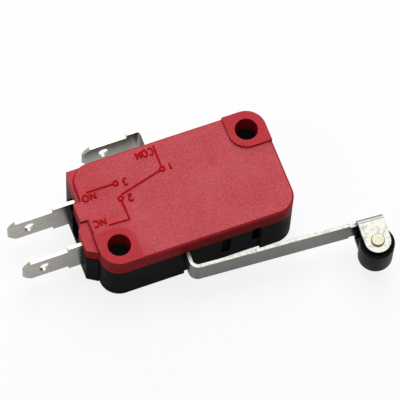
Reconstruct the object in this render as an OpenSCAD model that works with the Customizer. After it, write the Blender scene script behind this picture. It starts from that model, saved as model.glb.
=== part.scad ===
// Lever micro switch: a thin-bodied snap-action switch with a long hinged
// roller lever. The large face of the case lies on Z = 0 and the cover faces
// up. X runs along the body from the terminals to the roller, and the lever
// lies along the -Y side. The origin is midway between the mounting holes.

/* [Body] */
// Length of the body along X
body_l = 27.8; // [27:0.1:29]
// Height of the body along Y
body_w = 15.9; // [15.5:0.1:17]
// Thickness of the case, from the seating face to the parting plane
case_h = 7; // [6.9:0.05:7.3]
// Thickness of the cover, from the parting plane to its plain face
cover_h = 2.9; // [2.8:0.05:3.4]
// Radius of the body's corners
corner_r = 2.8; // [2.3:0.1:3]
// Thickness of the moulded side walls
wall = 1.2; // [1:0.05:1.3]
// Thickness of the case floor and of the cover's roof
plate_t = 1.2; // [0.9:0.05:1.3]
// Chamfer around the cover's outer edge
edge_c = 0.25; // [0.1:0.05:0.4]
// Depth of the shallow recess behind the lever
recess_d = 0.35; // [0.2:0.05:0.5]
// Distance from the plunger to the near side of the lever's recess
recess_left = 6.15; // [6:0.05:6.4]
// Distance from the plunger to the far side of the lever's recess
recess_right = 4.95; // [4.9:0.05:5.4]

/* [Mounting holes] */
// Distance of the mounting holes from the body's ends
hole_in_x = 2.8; // [2.7:0.05:2.9]
// Distance of the mounting holes from the body's sides
hole_in_y = 2.8; // [2.7:0.05:2.9]
// Diameter of the mounting holes
hole_d = 3.2; // [3:0.05:3.3]
// Wall of the inner boss around each mounting hole
boss_wall = 0.7; // [0.5:0.05:0.75]
// Height of the raised pads around the mounting holes
pad_h = 0.4; // [0.2:0.05:0.6]
// Width of the pad beyond the hole's centre
pad_r = 2.6; // [2.3:0.05:2.7]

/* [Terminals] */
// Thickness of the terminal strip
term_t = 0.5; // [0.4:0.05:0.6]
// Width of the plug-on blade
blade_w = 4.75; // [4.4:0.05:5]
// Length of the plug-on blade from its shoulder to its tip
blade_l = 6.5; // [6:0.1:7.5]
// Width of the terminal's root, above and below the shoulder
root_w = 6.3; // [6:0.05:6.5]
// Distance of the two end shoulders from the body's end
shoulder_out = 3.6; // [3:0.1:4.5]
// Length and height of the tip's corner chamfers
tip_c = 1.15; // [0.8:0.05:1.4]
// Distance from the tip to the hole in the blade
blade_hole_in = 3.1; // [2.8:0.1:3.6]
// Width of the hole in the blade
blade_hole_w = 1.35; // [1:0.05:1.6]
// Height of the hole in the blade
blade_hole_h = 2.3; // [1.7:0.05:2.5]
// Height of the normally-closed terminal above the body's centre line
nc_y = -2.45; // [-2.5:0.05:-2.2]
// Height of the normally-open terminal above the body's centre line
no_y = 3.8; // [3.6:0.05:3.9]
// Position of the common terminal's leg along the body
com_x = -2.15; // [-2.3:0.05:-1.9]
// Distance of the common blade from the body's side
com_out = 2.95; // [2.8:0.05:3.6]
// Width of the strips inside the case
inner_w = 4.4; // [4:0.1:4.6]

/* [Lever] */
// Thickness of the lever strip
lever_t = 0.5; // [0.4:0.05:0.55]
// Width of the lever strip
lever_w = 4; // [3.8:0.05:4.2]
// Distance from the lever's pivot to the outer face of its arm
lever_drop = 4.235; // [4.1:0.005:4.5]
// Distance from the lever's pivot to the roller's axle, along the arm
lever_reach = 25.05; // [23:0.05:27]
// Outward tilt of the lever at rest, in degrees
rest_tilt = 3.5; // [3:0.1:4]
// Outer radius of the bend between the arm and the leg
arm_bend_r = 1.3; // [0.9:0.05:1.6]
// Length of the foot inside the case, from the pivot to its end
foot_l = 4.75; // [4.6:0.05:4.85]
// Width of the foot inside the case
foot_w = 3.4; // [3:0.1:3.6]

/* [Roller] */
// Diameter of the roller
roller_d = 4.8; // [4.4:0.1:5.2]
// Width of the roller
roller_w = 4.8; // [4.4:0.05:4.85]
// Diameter of the roller's pin
pin_d = 1.5; // [1.2:0.05:1.7]
// Diameter of the pin's riveted heads
pin_head_d = 1.85; // [1.8:0.05:2.2]
// Height of the pin's riveted heads
pin_head_h = 0.35; // [0.25:0.05:0.5]
// Outer width of the fork that holds the roller
fork_w = 6; // [5.95:0.05:6.2]
// Width of the fork's ears along the arm
ear_w = 3.65; // [3.4:0.05:3.8]
// Distance from the arm's outer face to the roller's axle
axle_drop = 3.35; // [3.25:0.05:3.6]

/* [Plunger] */
// Position of the plunger along the body
plunger_x = 3.55; // [3.5:0.05:3.6]
// Thickness of the plunger's blade
plunger_t = 1.05; // [0.9:0.05:1.1]
// Height of the plunger's slot above the seating face
plunger_z = 2; // [1.8:0.1:2.4]
// Half-width of the plunger's body inside the case
plunger_body = 1.7; // [1.6:0.05:1.75]

/* [Snap mechanism] */
// Thickness of the moving arm
arm_t = 0.35; // [0.3:0.05:0.4]
// Height of the arm's pivot above the body's centre line
arm_y = 0.125; // [0.1:0.005:0.15]
// Position of the arm's pivot along the body
arm_pivot_x = 1.85; // [1.8:0.05:1.9]
// Position of the contacts along the body
contact_x = -8.5; // [-8.8:0.05:-8.3]
// Diameter of the contact rivets' heads
contact_d = 3; // [2.4:0.1:3.2]
// Height of the moving contact's heads
contact_h = 1; // [0.9:0.05:1.05]
// Gap between the moving contact and the open one
contact_gap = 1.1; // [1:0.05:1.2]
// Thickness of the tension lever
tension_t = 0.4; // [0.35:0.05:0.45]
// Position of the tension lever's pivot along the body
tension_pivot_x = 7.95; // [7.9:0.05:8]
// Height of the tension lever's pivot above the centre line
tension_y = -0.3; // [-0.35:0.01:-0.25]
// Outer diameter of the snap spring's coil
spring_d = 1.9; // [1.6:0.05:2]
// Diameter of the snap spring's wire
wire_d = 0.32; // [0.25:0.01:0.36]
// Number of turns in the snap spring
spring_turns = 9; // [7:1:11]
// Thickness of the anchor bracket's sheet
anchor_t = 0.5; // [0.4:0.05:0.55]

/* [Clearances] */
// Running clearance on each side of a piece that turns or slides
run_c = 0.05; // [0.03:0.01:0.08]
// Clearance on each side of a piece that is held
seat_c = 0.05; // [0.02:0.01:0.08]
// Clearance on each side of a hooked or knife-edge joint
edge_gap = 0.1; // [0.08:0.01:0.15]

/* [Hidden] */
$fn = 48;
eps = 0.01;

// Heights: the mechanism lies midway through the body
top_z = case_h + cover_h;
pad_z = top_z + pad_h;
mid_z = pad_z / 2;
roof_z = top_z - plate_t;
flange_z = top_z - 0.5;

// Inner faces of the moulded walls
in_x = body_l / 2 - wall;
in_y = body_w / 2 - wall;
front_y = -body_w / 2;
floor_y = front_y + recess_d;
hole_x = body_l / 2 - hole_in_x;
hole_y = body_w / 2 - hole_in_y;
boss_r = hole_d / 2 + boss_wall;
peg_d = 1.6;
peg_block = 1.5;
peg_depth = 2;

// Ends of the case and cover where the terminals leave
end_x = -body_l / 2;
boss_end = end_x - 1.6;
boss_mid = end_x - 1.1;
tab_end = end_x - 0.95;
skirt_end = end_x - 0.3;
skirt_y = body_w / 2 - 1.45;
tab_low = nc_y + 2.4;
tab_high = no_y - 1.05;

// Lever: the pivot lies just inside the front wall
hinge_w = 0.5;
hinge_x = plunger_x - recess_left + 0.45;
hinge_y = -in_y + hinge_w / 2 + edge_gap;
arm_out = hinge_y - lever_drop;
leg_left = hinge_x - lever_t / 2;
foot_y = hinge_y + 0.85;
foot_bend_r = lever_t + 0.3;
hinge_ear = 0.85;
slot_w = lever_t + 2 * edge_gap + 0.3;
spare_x = 2 * plunger_x - hinge_x - 1.4;
ear_low = mid_z - lever_w / 2 - hinge_ear;
ear_high = mid_z + lever_w / 2 + hinge_ear;
axle_x = hinge_x + lever_reach;
axle_y = arm_out - axle_drop;
ear_r = ear_w / 2;
lever_end = axle_x + ear_r;
neck_w = 0.9;
fork_r = 0.5;

// Plunger: its shoulder rests on the lever's foot
shoulder_w = 0.7;
foot_top = foot_y - hinge_y + lever_t / 2;
shoulder_rise = foot_top / cos(rest_tilt) - (foot_l - shoulder_w) * tan(rest_tilt);
shoulder_y = hinge_y + shoulder_rise + run_c;
plunger_left = hinge_x + foot_l - shoulder_w;
plunger_right = plunger_x + plunger_body - 0.6;
plunger_slot = plunger_t + 2 * run_c + 0.05;
plunger_top = mid_z + plunger_body;
body_top = shoulder_y + 2.95;
rib_t = 0.6;

// Tension lever and spring, at rest
hook_x = 2.4;
hook_fall = 0.65;
tension_tilt = atan(hook_fall / (tension_pivot_x - hook_x));
hook_y = tension_y - hook_fall;
nose_line = tension_y - (tension_pivot_x - plunger_x) * tan(tension_tilt);
nose_y = nose_line - tension_t / 2 / cos(tension_tilt) - run_c;
tension_w = 3.4;
hook_hole = 0.9;
hook_bar = 0.6;
arm_hook_x = -5.6;
window_x = arm_hook_x + hook_hole / 2 + hook_bar;
spring_tilt = atan2(hook_y - arm_y, hook_x - arm_hook_x);
spring_l = norm([hook_x - arm_hook_x, hook_y - arm_y]);
coil_r = (spring_d - wire_d) / 2;
hook_l = 1.6;

// Anchor bracket: two cheeks joined by a base, riveted to the common strip
arm_w = 5.4;
rail_w = 0.7;
cheek_gap = arm_w - 2 * anchor_t + 0.1;
cheek_left = arm_pivot_x - 0.1;
cheek_right = tension_pivot_x + 0.25;
com_foot_y = in_y - 0.4;
base_y = com_foot_y - term_t;
rivet_d = 1.2;
rivet_head_d = 2;
rivet_head_h = 0.35;
rivet_x = [3.5, 5.7];

// Contacts: each fixed one is as tall as the space leaves
half_stack = arm_t / 2 + contact_h;
nc_face = arm_y - half_stack;
no_face = arm_y + half_stack + contact_gap;
strip_end = contact_x + 2.6;
rest_x = contact_x + contact_d / 2 + 0.2;
strip_step = end_x + 1.4;

// A flat rectangle with round corners, centred on the origin
module rounded_rect(l, w, r) {
    square([l - 2 * r, w], center = true);
    square([l, w - 2 * r], center = true);
    for (sx = [-1, 1], sy = [-1, 1])
        translate([sx * (l / 2 - r), sy * (w / 2 - r)])
            circle(r);
}

// A box from one corner to the opposite one
module block(low, high) {
    translate(low)
        cube(high - low);
}

// A slab with round corners and a chamfered upper edge
module bevelled_slab(l, w, r, h, c) {
    linear_extrude(h - c)
        rounded_rect(l, w, r);
    translate([0, 0, h - c]) {
        for (sx = [-1, 1], sy = [-1, 1])
            translate([sx * (l / 2 - r), sy * (w / 2 - r), 0])
                cylinder(h = c, r1 = r, r2 = r - c);
        rotate([90, 0, 90])
            linear_extrude(l - 2 * r, center = true)
                polygon([[-w / 2, 0], [w / 2, 0], [w / 2 - c, c], [c - w / 2, c]]);
        rotate([90, 0, 0])
            linear_extrude(w - 2 * r, center = true)
                polygon([[-l / 2, 0], [l / 2, 0], [l / 2 - c, c], [c - l / 2, c]]);
    }
}

// Both mounting positions, opposite each other across the origin
module at_holes() {
    for (turn = [0, 180])
        rotate(turn)
            translate([hole_x, hole_y, 0])
                children();
}

// Both positions of the locating pegs, in the other two corners
module at_pegs() {
    for (turn = [0, 180])
        rotate(turn)
            translate([-hole_x, hole_y, 0])
                children();
}

// Outline of the hollow inside the case and cover
module cavity_2d() {
    difference() {
        rounded_rect(2 * in_x, 2 * in_y, corner_r - wall);
        at_holes() {
            circle(boss_r);
            translate([0, -boss_r])
                square([corner_r, 2 * boss_r + corner_r]);
            translate([-boss_r, 0])
                square([2 * boss_r + corner_r, corner_r]);
        }
        at_pegs()
            translate([-corner_r - boss_wall, -peg_block])
                square([corner_r + boss_wall + peg_block, corner_r + 2 * peg_block]);
    }
}

// Quarter ring: a strip's bend about the origin, in the given quadrant
module bend_2d(r_out, t, quadrant) {
    intersection() {
        difference() {
            circle(r_out);
            circle(r_out - t);
        }
        rotate(90 * quadrant)
            square(r_out + eps);
    }
}

// Slots that the terminals' roots lie in, cut through the end and side walls
module terminal_slots(c) {
    low = mid_z - root_w / 2 - c;
    high = mid_z + root_w / 2 + c;
    for (y = [nc_y, no_y])
        block([boss_end - 1, y - term_t / 2 - c, low], [strip_step + c, y + term_t / 2 + c, high]);
    for (y = [nc_y, no_y])
        block([strip_step, y - term_t / 2 - c, mid_z - inner_w / 2 - c],
              [peg_block + 1 - hole_x, y + term_t / 2 + c, mid_z + inner_w / 2 + c]);
    block([com_x - term_t / 2 - c, in_y - 1, low], [com_x + term_t / 2 + c, body_w / 2 + 1, high]);
}

// Room for the three contacts and the rivet tails of the fixed ones
module contact_room() {
    tail = term_t / 2 + 0.5;
    translate([contact_x, nc_y - tail, mid_z])
        rotate([-90, 0, 0])
            cylinder(h = no_y - nc_y + 2 * tail, d = contact_d + 0.2);
}

// Pocket that traps one end of the lever's hinge ears; the body has two,
// so that the lever can be fitted at either end of the recess
module hinge_pocket_block(x, low, high) {
    block([x - 1.35, -in_y - eps, low], [x + 1.35, 1.3 - in_y, high]);
}

module hinge_pocket(x, low, high) {
    block([x - slot_w / 2, -in_y - eps, low],
          [x + slot_w / 2, hinge_w + 2 * edge_gap - in_y, high]);
}

// Outline of the case where the terminals leave
module case_end_2d() {
    polygon([
        [end_x + corner_r, body_w / 2 - 0.1], [skirt_end + 0.1, body_w / 2 - 0.1],
        [skirt_end - 0.05, skirt_y], [skirt_end, no_y + 1.1],
        [boss_mid, no_y + 1.1], [boss_mid, -0.3],
        [boss_end, -0.9], [boss_end, nc_y - 1.7],
        [end_x - 0.2, nc_y - 2.6], [end_x + corner_r, nc_y - 2.6]
    ]);
}

module case_body() {
    linear_extrude(case_h)
        rounded_rect(body_l, body_w, corner_r);
    linear_extrude(case_h)
        case_end_2d();
}

module case_ribs() {
    // Plunger guides, one on each side
    block([plunger_right + 2 * run_c, -in_y - eps, plate_t - eps],
          [plunger_right + 2 * run_c + rib_t, body_top - 0.4, case_h]);
    block([plunger_left - 2 * run_c - rib_t, shoulder_y + 1.3, plate_t - eps],
          [plunger_left - 2 * run_c, body_top - 0.4, case_h]);
    // Rests behind the two fixed contacts' strips
    block([rest_x, -in_y - eps, plate_t - eps], [strip_end, nc_y - term_t / 2, case_h]);
    block([rest_x, no_y + term_t / 2, plate_t - eps], [strip_end, in_y + eps, case_h]);
    // Hinge pockets on the floor
    for (x = [hinge_x, spare_x])
        hinge_pocket_block(x, plate_t - eps, mid_z - lever_w / 2 - edge_gap);
}

module case_cuts() {
    // Shallow recess behind the lever
    block([plunger_x - recess_left, front_y - 1, -1],
          [plunger_x + recess_right, floor_y, case_h + 1]);
    // Hinge slots through the front wall, and their pockets
    for (x = [hinge_x, spare_x]) {
        block([x - slot_w / 2, front_y - 1, mid_z - lever_w / 2 - edge_gap],
              [x + slot_w / 2, -in_y + 1.5, case_h + 1]);
        hinge_pocket(x, ear_low - edge_gap, mid_z);
    }
    // Plunger slot
    block([plunger_x - plunger_slot / 2, front_y - 1, plunger_z],
          [plunger_x + plunger_slot / 2, -in_y + 0.2, case_h + 1]);
    // Terminal slots, and the hollow between the two end terminals
    terminal_slots(seat_c);
    contact_room();
    block([boss_end - 1, 0.3, plate_t], [boss_mid + 0.7, no_y - 1.1, case_h + 1]);
    // Mounting holes and the locating pegs' holes
    at_holes()
        translate([0, 0, -1])
            cylinder(h = case_h + 2, d = hole_d);
    at_pegs()
        translate([0, 0, case_h - peg_depth - 0.3])
            cylinder(h = peg_depth + 1, d = peg_d + 2 * seat_c);
}

module case() {
    color("#1c1c1e")
        difference() {
            union() {
                difference() {
                    case_body();
                    translate([0, 0, plate_t])
                        linear_extrude(case_h)
                            cavity_2d();
                }
                intersection() {
                    case_body();
                    case_ribs();
                }
            }
            case_cuts();
        }
}

// Outline of the cover's lower flange where the terminals leave
module cover_end_2d() {
    polygon([
        [end_x + corner_r, body_w / 2 - 0.15], [skirt_end + 0.1, body_w / 2 - 0.15],
        [skirt_end - 0.05, skirt_y], [skirt_end, tab_high],
        [tab_end, tab_high], [tab_end, tab_low],
        [boss_end + 0.05, nc_y + 1.35], [boss_end + 0.05, nc_y - 1.65],
        [end_x - 0.1, nc_y - 2.5], [end_x + corner_r, nc_y - 2.5]
    ]);
}

// Raised pad that fills the corner around a mounting hole
module pad_2d() {
    intersection() {
        rounded_rect(body_l, body_w, corner_r);
        translate([hole_x, hole_y]) {
            circle(pad_r);
            translate([-pad_r, 0])
                square(2 * pad_r);
            translate([0, -pad_r])
                square(2 * pad_r);
        }
    }
}

module cover_body() {
    translate([0, 0, case_h])
        bevelled_slab(body_l, body_w, corner_r, cover_h, edge_c);
    translate([0, 0, case_h])
        linear_extrude(flange_z - case_h)
            cover_end_2d();
    block([tab_end, tab_low, case_h], [end_x + 2 * edge_c, tab_high, top_z]);
    for (turn = [0, 180])
        rotate(turn)
            translate([0, 0, top_z - 2 * edge_c])
                linear_extrude(pad_h + 2 * edge_c)
                    pad_2d();
    at_pegs()
        translate([0, 0, case_h - peg_depth])
            cylinder(h = peg_depth + cover_h / 2, d = peg_d);
}

module cover_ribs() {
    // Stops that hold the strips of the two end terminals down
    for (y = [nc_y, no_y])
        block([rest_x, y - 0.8, mid_z + inner_w / 2 + seat_c], [strip_end, y + 0.8, roof_z + eps]);
    // Upper halves of the hinge pockets
    for (x = [hinge_x, spare_x])
        hinge_pocket_block(x, mid_z + lever_w / 2 + edge_gap, roof_z + eps);
    // Roof rib that holds the plunger in its guide
    block([plunger_left - 0.4, shoulder_y + 1.3, plunger_top + 2 * run_c],
          [plunger_right + 0.4, shoulder_y + 1.9, roof_z + eps]);
}

module cover() {
    color("#c4505a")
        difference() {
            union() {
                difference() {
                    cover_body();
                    translate([0, 0, case_h - eps])
                        linear_extrude(roof_z - case_h + eps)
                            cavity_2d();
                }
                cover_ribs();
            }
            terminal_slots(seat_c);
            contact_room();
            // Reliefs over the lever's leg, and the hinge ears' pockets
            for (x = [hinge_x, spare_x]) {
                block([x - slot_w / 2, front_y - 1, case_h - 1],
                      [x + slot_w / 2, -in_y + 1.5, mid_z + lever_w / 2 + edge_gap]);
                hinge_pocket(x, mid_z, ear_high + edge_gap);
            }
            at_holes()
                translate([0, 0, case_h - 1])
                    cylinder(h = cover_h + pad_h + 2, d = hole_d);
        }
}

// The plunger slides in the front wall and carries a wide body inside
module plunger() {
    color("#202022") {
        block([plunger_x - plunger_t / 2, floor_y + 0.15, plunger_z + run_c],
              [plunger_x + plunger_t / 2, body_top - 0.3, plunger_top]);
        block([plunger_left, shoulder_y, mid_z - plunger_body],
              [plunger_right, body_top, plunger_top]);
        translate([plunger_x, 0, mid_z - 1])
            linear_extrude(2)
                polygon([
                    [-0.5, body_top - eps], [0.5, body_top - eps], [0.5, nose_y - 0.3],
                    [0.15, nose_y], [-0.15, nose_y], [-0.5, nose_y - 0.3]
                ]);
    }
}

// The lever's sheet seen along its hinge: leg, foot and arm as one strip
module lever_leg_2d() {
    translate([leg_left + arm_bend_r, arm_out + arm_bend_r])
        bend_2d(arm_bend_r, lever_t, 2);
    translate([leg_left, arm_out + arm_bend_r - eps])
        square([lever_t, foot_y + lever_t / 2 - foot_bend_r - arm_out - arm_bend_r + 2 * eps]);
}

module lever_foot_2d() {
    translate([leg_left + foot_bend_r, foot_y + lever_t / 2 - foot_bend_r])
        bend_2d(foot_bend_r, lever_t, 1);
    translate([leg_left + foot_bend_r - eps, foot_y - lever_t / 2])
        square([hinge_x + foot_l - leg_left - foot_bend_r + eps, lever_t]);
}

module lever_arm() {
    difference() {
        block([leg_left + arm_bend_r - eps, arm_out, mid_z - lever_w / 2],
              [lever_end, arm_out + lever_t, mid_z + lever_w / 2]);
        // Relief notches beside the fork
        for (side = [-1, 1])
            translate([axle_x - ear_r - neck_w, arm_out - 1, mid_z + side * lever_w / 2 - neck_w / 2])
                cube([neck_w, 3, neck_w]);
        // Two small setting nicks in the upper edge
        for (x = [hinge_x + 8.15, hinge_x + 8.75])
            translate([x, arm_out - 1, mid_z + lever_w / 2 - 0.2])
                cube([0.2, 3, 1]);
    }
}

// One ear of the fork: folded from the strip, with a round end
module fork_ear() {
    difference() {
        union() {
            cylinder(h = lever_t, r = ear_r);
            translate([-ear_r, 0, 0])
                cube([ear_w, axle_drop - fork_r + eps, lever_t]);
        }
        translate([0, 0, -1])
            cylinder(h = lever_t + 2, d = pin_d);
    }
}

// Round fold that joins an ear to the strip
module fork_fold() {
    rotate([90, 0, 90])
        linear_extrude(ear_w)
            intersection() {
                difference() {
                    circle(lever_t + fork_r);
                    circle(fork_r);
                }
                square(lever_t + fork_r + eps);
            }
}

module lever_fork() {
    half = fork_w / 2;
    for (side = [0, 1])
        translate([0, 0, mid_z])
            mirror([0, 0, side]) {
                translate([axle_x, axle_y, half - lever_t])
                    fork_ear();
                translate([axle_x - ear_r, arm_out - fork_r, half - lever_t - fork_r])
                    fork_fold();
                block([axle_x - ear_r, arm_out, lever_w / 4],
                      [lever_end, arm_out + lever_t, half - lever_t - fork_r + eps]);
            }
}

// Turns a piece about the lever's pivot, from square to its rest position
module lever_at_rest() {
    translate([hinge_x, hinge_y, 0])
        rotate(-rest_tilt)
            translate([-hinge_x, -hinge_y, 0])
                children();
}

module actuator_lever() {
    color("#b9babd")
        lever_at_rest() {
            translate([0, 0, mid_z - lever_w / 2])
                linear_extrude(lever_w)
                    lever_leg_2d();
            translate([0, 0, mid_z - foot_w / 2])
                linear_extrude(foot_w)
                    lever_foot_2d();
            block([leg_left, hinge_y - hinge_w / 2, ear_low],
                  [leg_left + lever_t, hinge_y + hinge_w / 2, ear_high]);
            difference() {
                lever_arm();
                block([axle_x - ear_r, arm_out - 1, 0], [lever_end + 1, arm_out + 2, pad_z]);
            }
            block([axle_x - ear_r - eps, arm_out, mid_z - lever_w / 4 - eps],
                  [lever_end, arm_out + lever_t, mid_z + lever_w / 4 + eps]);
            lever_fork();
        }
}

// The roller is a plain moulded wheel with chamfered rims
module roller() {
    chamfer = 0.35;
    r = roller_d / 2;
    h = roller_w / 2;
    bore = pin_d / 2 + run_c;
    color("#1d1d1f")
        lever_at_rest()
            translate([axle_x, axle_y, mid_z])
                rotate_extrude()
                    polygon([
                        [bore, -h], [r - chamfer, -h], [r, chamfer - h],
                        [r, h - chamfer], [r - chamfer, h], [bore, h]
                    ]);
}

// The pin is upset into a flat head with a softened rim at each end
module roller_pin() {
    half = fork_w / 2;
    color("#c9cacc")
        lever_at_rest()
            translate([axle_x, axle_y, mid_z])
                rotate_extrude()
                    union() {
                        translate([0, -half])
                            square([pin_d / 2, fork_w]);
                        for (side = [0, 1])
                            mirror([0, side])
                                translate([0, half])
                                    flat_head_2d(pin_head_d / 2, pin_head_h, 0.08);
                    }
}

// Half section of a flat head with a chamfered rim
module flat_head_2d(r, h, c) {
    polygon([[0, 0], [r, 0], [r, h - c], [r - c, h], [0, h]]);
}

// Half section of a low domed head
module dome_2d(r, h) {
    sphere_r = (r * r + h * h) / (2 * h);
    intersection() {
        square([r, h]);
        translate([0, h - sphere_r])
            circle(sphere_r, $fn = 96);
    }
}

// Blade and root of a terminal, flat in the XY plane and pointing to -X:
// the shoulder lies on X = 0, and the root runs to +X
module blade_2d(root_l) {
    difference() {
        union() {
            translate([0, -root_w / 2])
                square([root_l, root_w]);
            polygon([
                [eps, -blade_w / 2], [eps, blade_w / 2], [tip_c - blade_l, blade_w / 2],
                [-blade_l, blade_w / 2 - tip_c], [-blade_l, tip_c - blade_w / 2],
                [tip_c - blade_l, -blade_w / 2]
            ]);
        }
        translate([blade_hole_in - blade_l, 0])
            hole_2d();
    }
}

// Upright oblong hole in a blade
module hole_2d() {
    run = (blade_hole_h - blade_hole_w) / 2;
    for (side = [-1, 1])
        translate([0, side * run])
            circle(d = blade_hole_w);
    square([blade_hole_w, 2 * run], center = true);
}

// Thins the tip of a blade from both faces
module tip_bevels() {
    for (side = [-1, 1])
        translate([-blade_l, 0, side * term_t / 2])
            rotate([0, -side * 20, 0])
                cube([1.2, 2 * root_w, 0.3], center = true);
}

module end_terminal(y) {
    shoulder_x = end_x - shoulder_out;
    translate([shoulder_x, y, mid_z])
        rotate([90, 0, 0])
            difference() {
                union() {
                    translate([0, 0, -term_t / 2])
                        linear_extrude(term_t)
                            blade_2d(strip_step - shoulder_x);
                    translate([strip_step - shoulder_x - eps, -inner_w / 2, -term_t / 2])
                        cube([strip_end - strip_step + eps, inner_w, term_t]);
                }
                tip_bevels();
                translate([contact_x - shoulder_x, 0, -term_t])
                    cylinder(h = 2 * term_t, d = rivet_d);
            }
}

module nc_terminal() {
    color("#c3c3c0")
        end_terminal(nc_y);
}

module no_terminal() {
    color("#c3c3c0")
        end_terminal(no_y);
}

// The common terminal: a blade along the body, a leg through its side wall
// and a foot inside that carries the anchor bracket
module com_terminal() {
    outer = com_x + term_t / 2;
    inner = com_x - term_t / 2;
    blade_y = body_w / 2 + com_out;
    bend = term_t + 0.4;
    shoulder_x = com_x - 2.1;
    color("#c3c3c0") {
        difference() {
            translate([shoulder_x, blade_y, mid_z])
                rotate([90, 0, 0])
                    difference() {
                        translate([0, 0, -term_t / 2])
                            linear_extrude(term_t)
                                blade_2d(outer - bend - shoulder_x + eps);
                        tip_bevels();
                    }
        }
        translate([0, 0, mid_z - root_w / 2])
            linear_extrude(root_w) {
                translate([outer - bend, blade_y + term_t / 2 - bend])
                    bend_2d(bend, term_t, 0);
                translate([inner, in_y - eps])
                    square([term_t, blade_y + term_t / 2 - bend - in_y + 2 * eps]);
            }
        translate([0, 0, mid_z - inner_w / 2])
            linear_extrude(inner_w) {
                translate([inner, com_foot_y - term_t + bend - eps])
                    square([term_t, in_y - com_foot_y + term_t - bend + 2 * eps]);
                translate([inner + bend, com_foot_y - term_t + bend])
                    bend_2d(bend, term_t, 2);
            }
        difference() {
            block([inner + bend - eps, base_y, mid_z - inner_w / 2],
                  [cheek_right - 1.6, com_foot_y, mid_z + inner_w / 2]);
            rivet_holes();
        }
    }
}

module rivet_holes() {
    for (x = rivet_x)
        translate([x, base_y, mid_z])
            rotate([90, 0, 0])
                cylinder(h = 4 * term_t, d = rivet_d, center = true);
}

// Rivet through a strip and what it holds, along Y, from its lower head
module rivet(grip, head_d, head_h) {
    rotate([-90, 0, 0])
        rotate_extrude()
            union() {
                square([rivet_d / 2, grip]);
                translate([0, grip])
                    dome_2d(head_d / 2, head_h);
                mirror([0, 1])
                    dome_2d(head_d / 2, head_h);
            }
}

// A fixed contact: a flat-topped head on the strip, riveted behind it
module fixed_contact(y, face, side) {
    head = abs(face - y) - term_t / 2;
    translate([contact_x, y, mid_z])
        rotate([-90 * side, 0, 0])
            rotate_extrude()
                union() {
                    translate([0, -term_t / 2])
                        square([rivet_d / 2, term_t + eps]);
                    translate([0, term_t / 2])
                        polygon([
                            [0, 0], [contact_d / 2, 0], [contact_d / 2, head - 0.3],
                            [contact_d / 2 - 0.5, head], [0, head]
                        ]);
                    translate([0, -term_t / 2])
                        mirror([0, 1])
                            dome_2d(contact_d / 3, 0.35);
                }
}

module nc_contact() {
    color("#d8d8d4")
        fixed_contact(nc_y, nc_face, 1);
}

module no_contact() {
    color("#d8d8d4")
        fixed_contact(no_y, no_face, -1);
}

// One cheek of the anchor bracket, with a knife-edge notch at each end
module cheek_2d() {
    notch = 0.3;
    difference() {
        polygon([
            [cheek_left, arm_y - 1.1], [cheek_left, arm_y + 1.1], [cheek_left + 1, arm_y + 2.3],
            [cheek_left + 1, base_y], [cheek_right - 1.8, base_y], [cheek_right - 1.8, 2.1],
            [cheek_right, 1], [cheek_right, tension_y - 1], [cheek_right - 0.6, tension_y - 1.3],
            [cheek_left + 0.6, arm_y - 1.4]
        ]);
        polygon([
            [cheek_left - eps, arm_y - notch], [arm_pivot_x + edge_gap, arm_y - 0.05],
            [arm_pivot_x + edge_gap, arm_y + 0.05], [cheek_left - eps, arm_y + notch]
        ]);
        polygon([
            [cheek_right + eps, tension_y - 1.4 * notch],
            [tension_pivot_x - edge_gap, tension_y - 0.05],
            [tension_pivot_x - edge_gap, tension_y + 0.05],
            [cheek_right + eps, tension_y + 1.4 * notch]
        ]);
    }
}

module anchor_bracket() {
    color("#c9a25a") {
        for (side = [0, 1])
            translate([0, 0, mid_z])
                mirror([0, 0, side])
                    translate([0, 0, cheek_gap / 2])
                        linear_extrude(anchor_t)
                            cheek_2d();
        difference() {
            block([cheek_left + 1, base_y - anchor_t, mid_z - cheek_gap / 2 - eps],
                  [cheek_right - 1.8, base_y, mid_z + cheek_gap / 2 + eps]);
            rivet_holes();
        }
    }
}

module anchor_rivets() {
    color("#b08d4a")
        for (x = rivet_x)
            translate([x, base_y - anchor_t, mid_z])
                rivet(anchor_t + term_t, rivet_head_d, rivet_head_h);
}

// The moving arm is a fork: a plate that carries the contact, and two rails
// whose pointed ends pivot in the anchor bracket's notches
module moving_arm() {
    plate_end = contact_x - 1.7;
    color("#c08a4a")
        difference() {
            union() {
                translate([0, arm_y + arm_t / 2, mid_z])
                    rotate([90, 0, 0])
                        linear_extrude(arm_t)
                            difference() {
                                polygon([
                                    [plate_end, -1.5], [plate_end, 1.5], [contact_x + 1.2, arm_w / 2],
                                    [arm_pivot_x - 0.3, arm_w / 2], [arm_pivot_x - 0.3, -arm_w / 2],
                                    [contact_x + 1.2, -arm_w / 2]
                                ]);
                                translate([window_x, rail_w - arm_w / 2])
                                    square([arm_pivot_x - window_x, arm_w - 2 * rail_w]);
                            }
                for (side = [0, 1])
                    translate([0, 0, mid_z])
                        mirror([0, 0, side])
                            translate([0, 0, arm_w / 2 - rail_w])
                                linear_extrude(rail_w)
                                    polygon([
                                        [arm_pivot_x - 0.3 - eps, arm_y - arm_t / 2],
                                        [arm_pivot_x, arm_y - 0.03], [arm_pivot_x, arm_y + 0.03],
                                        [arm_pivot_x - 0.3 - eps, arm_y + arm_t / 2]
                                    ]);
            }
            for (x = [contact_x, arm_hook_x])
                translate([x, arm_y, mid_z])
                    rotate([90, 0, 0])
                        cylinder(h = 1, d = x == contact_x ? rivet_d : hook_hole, center = true);
        }
}

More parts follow.
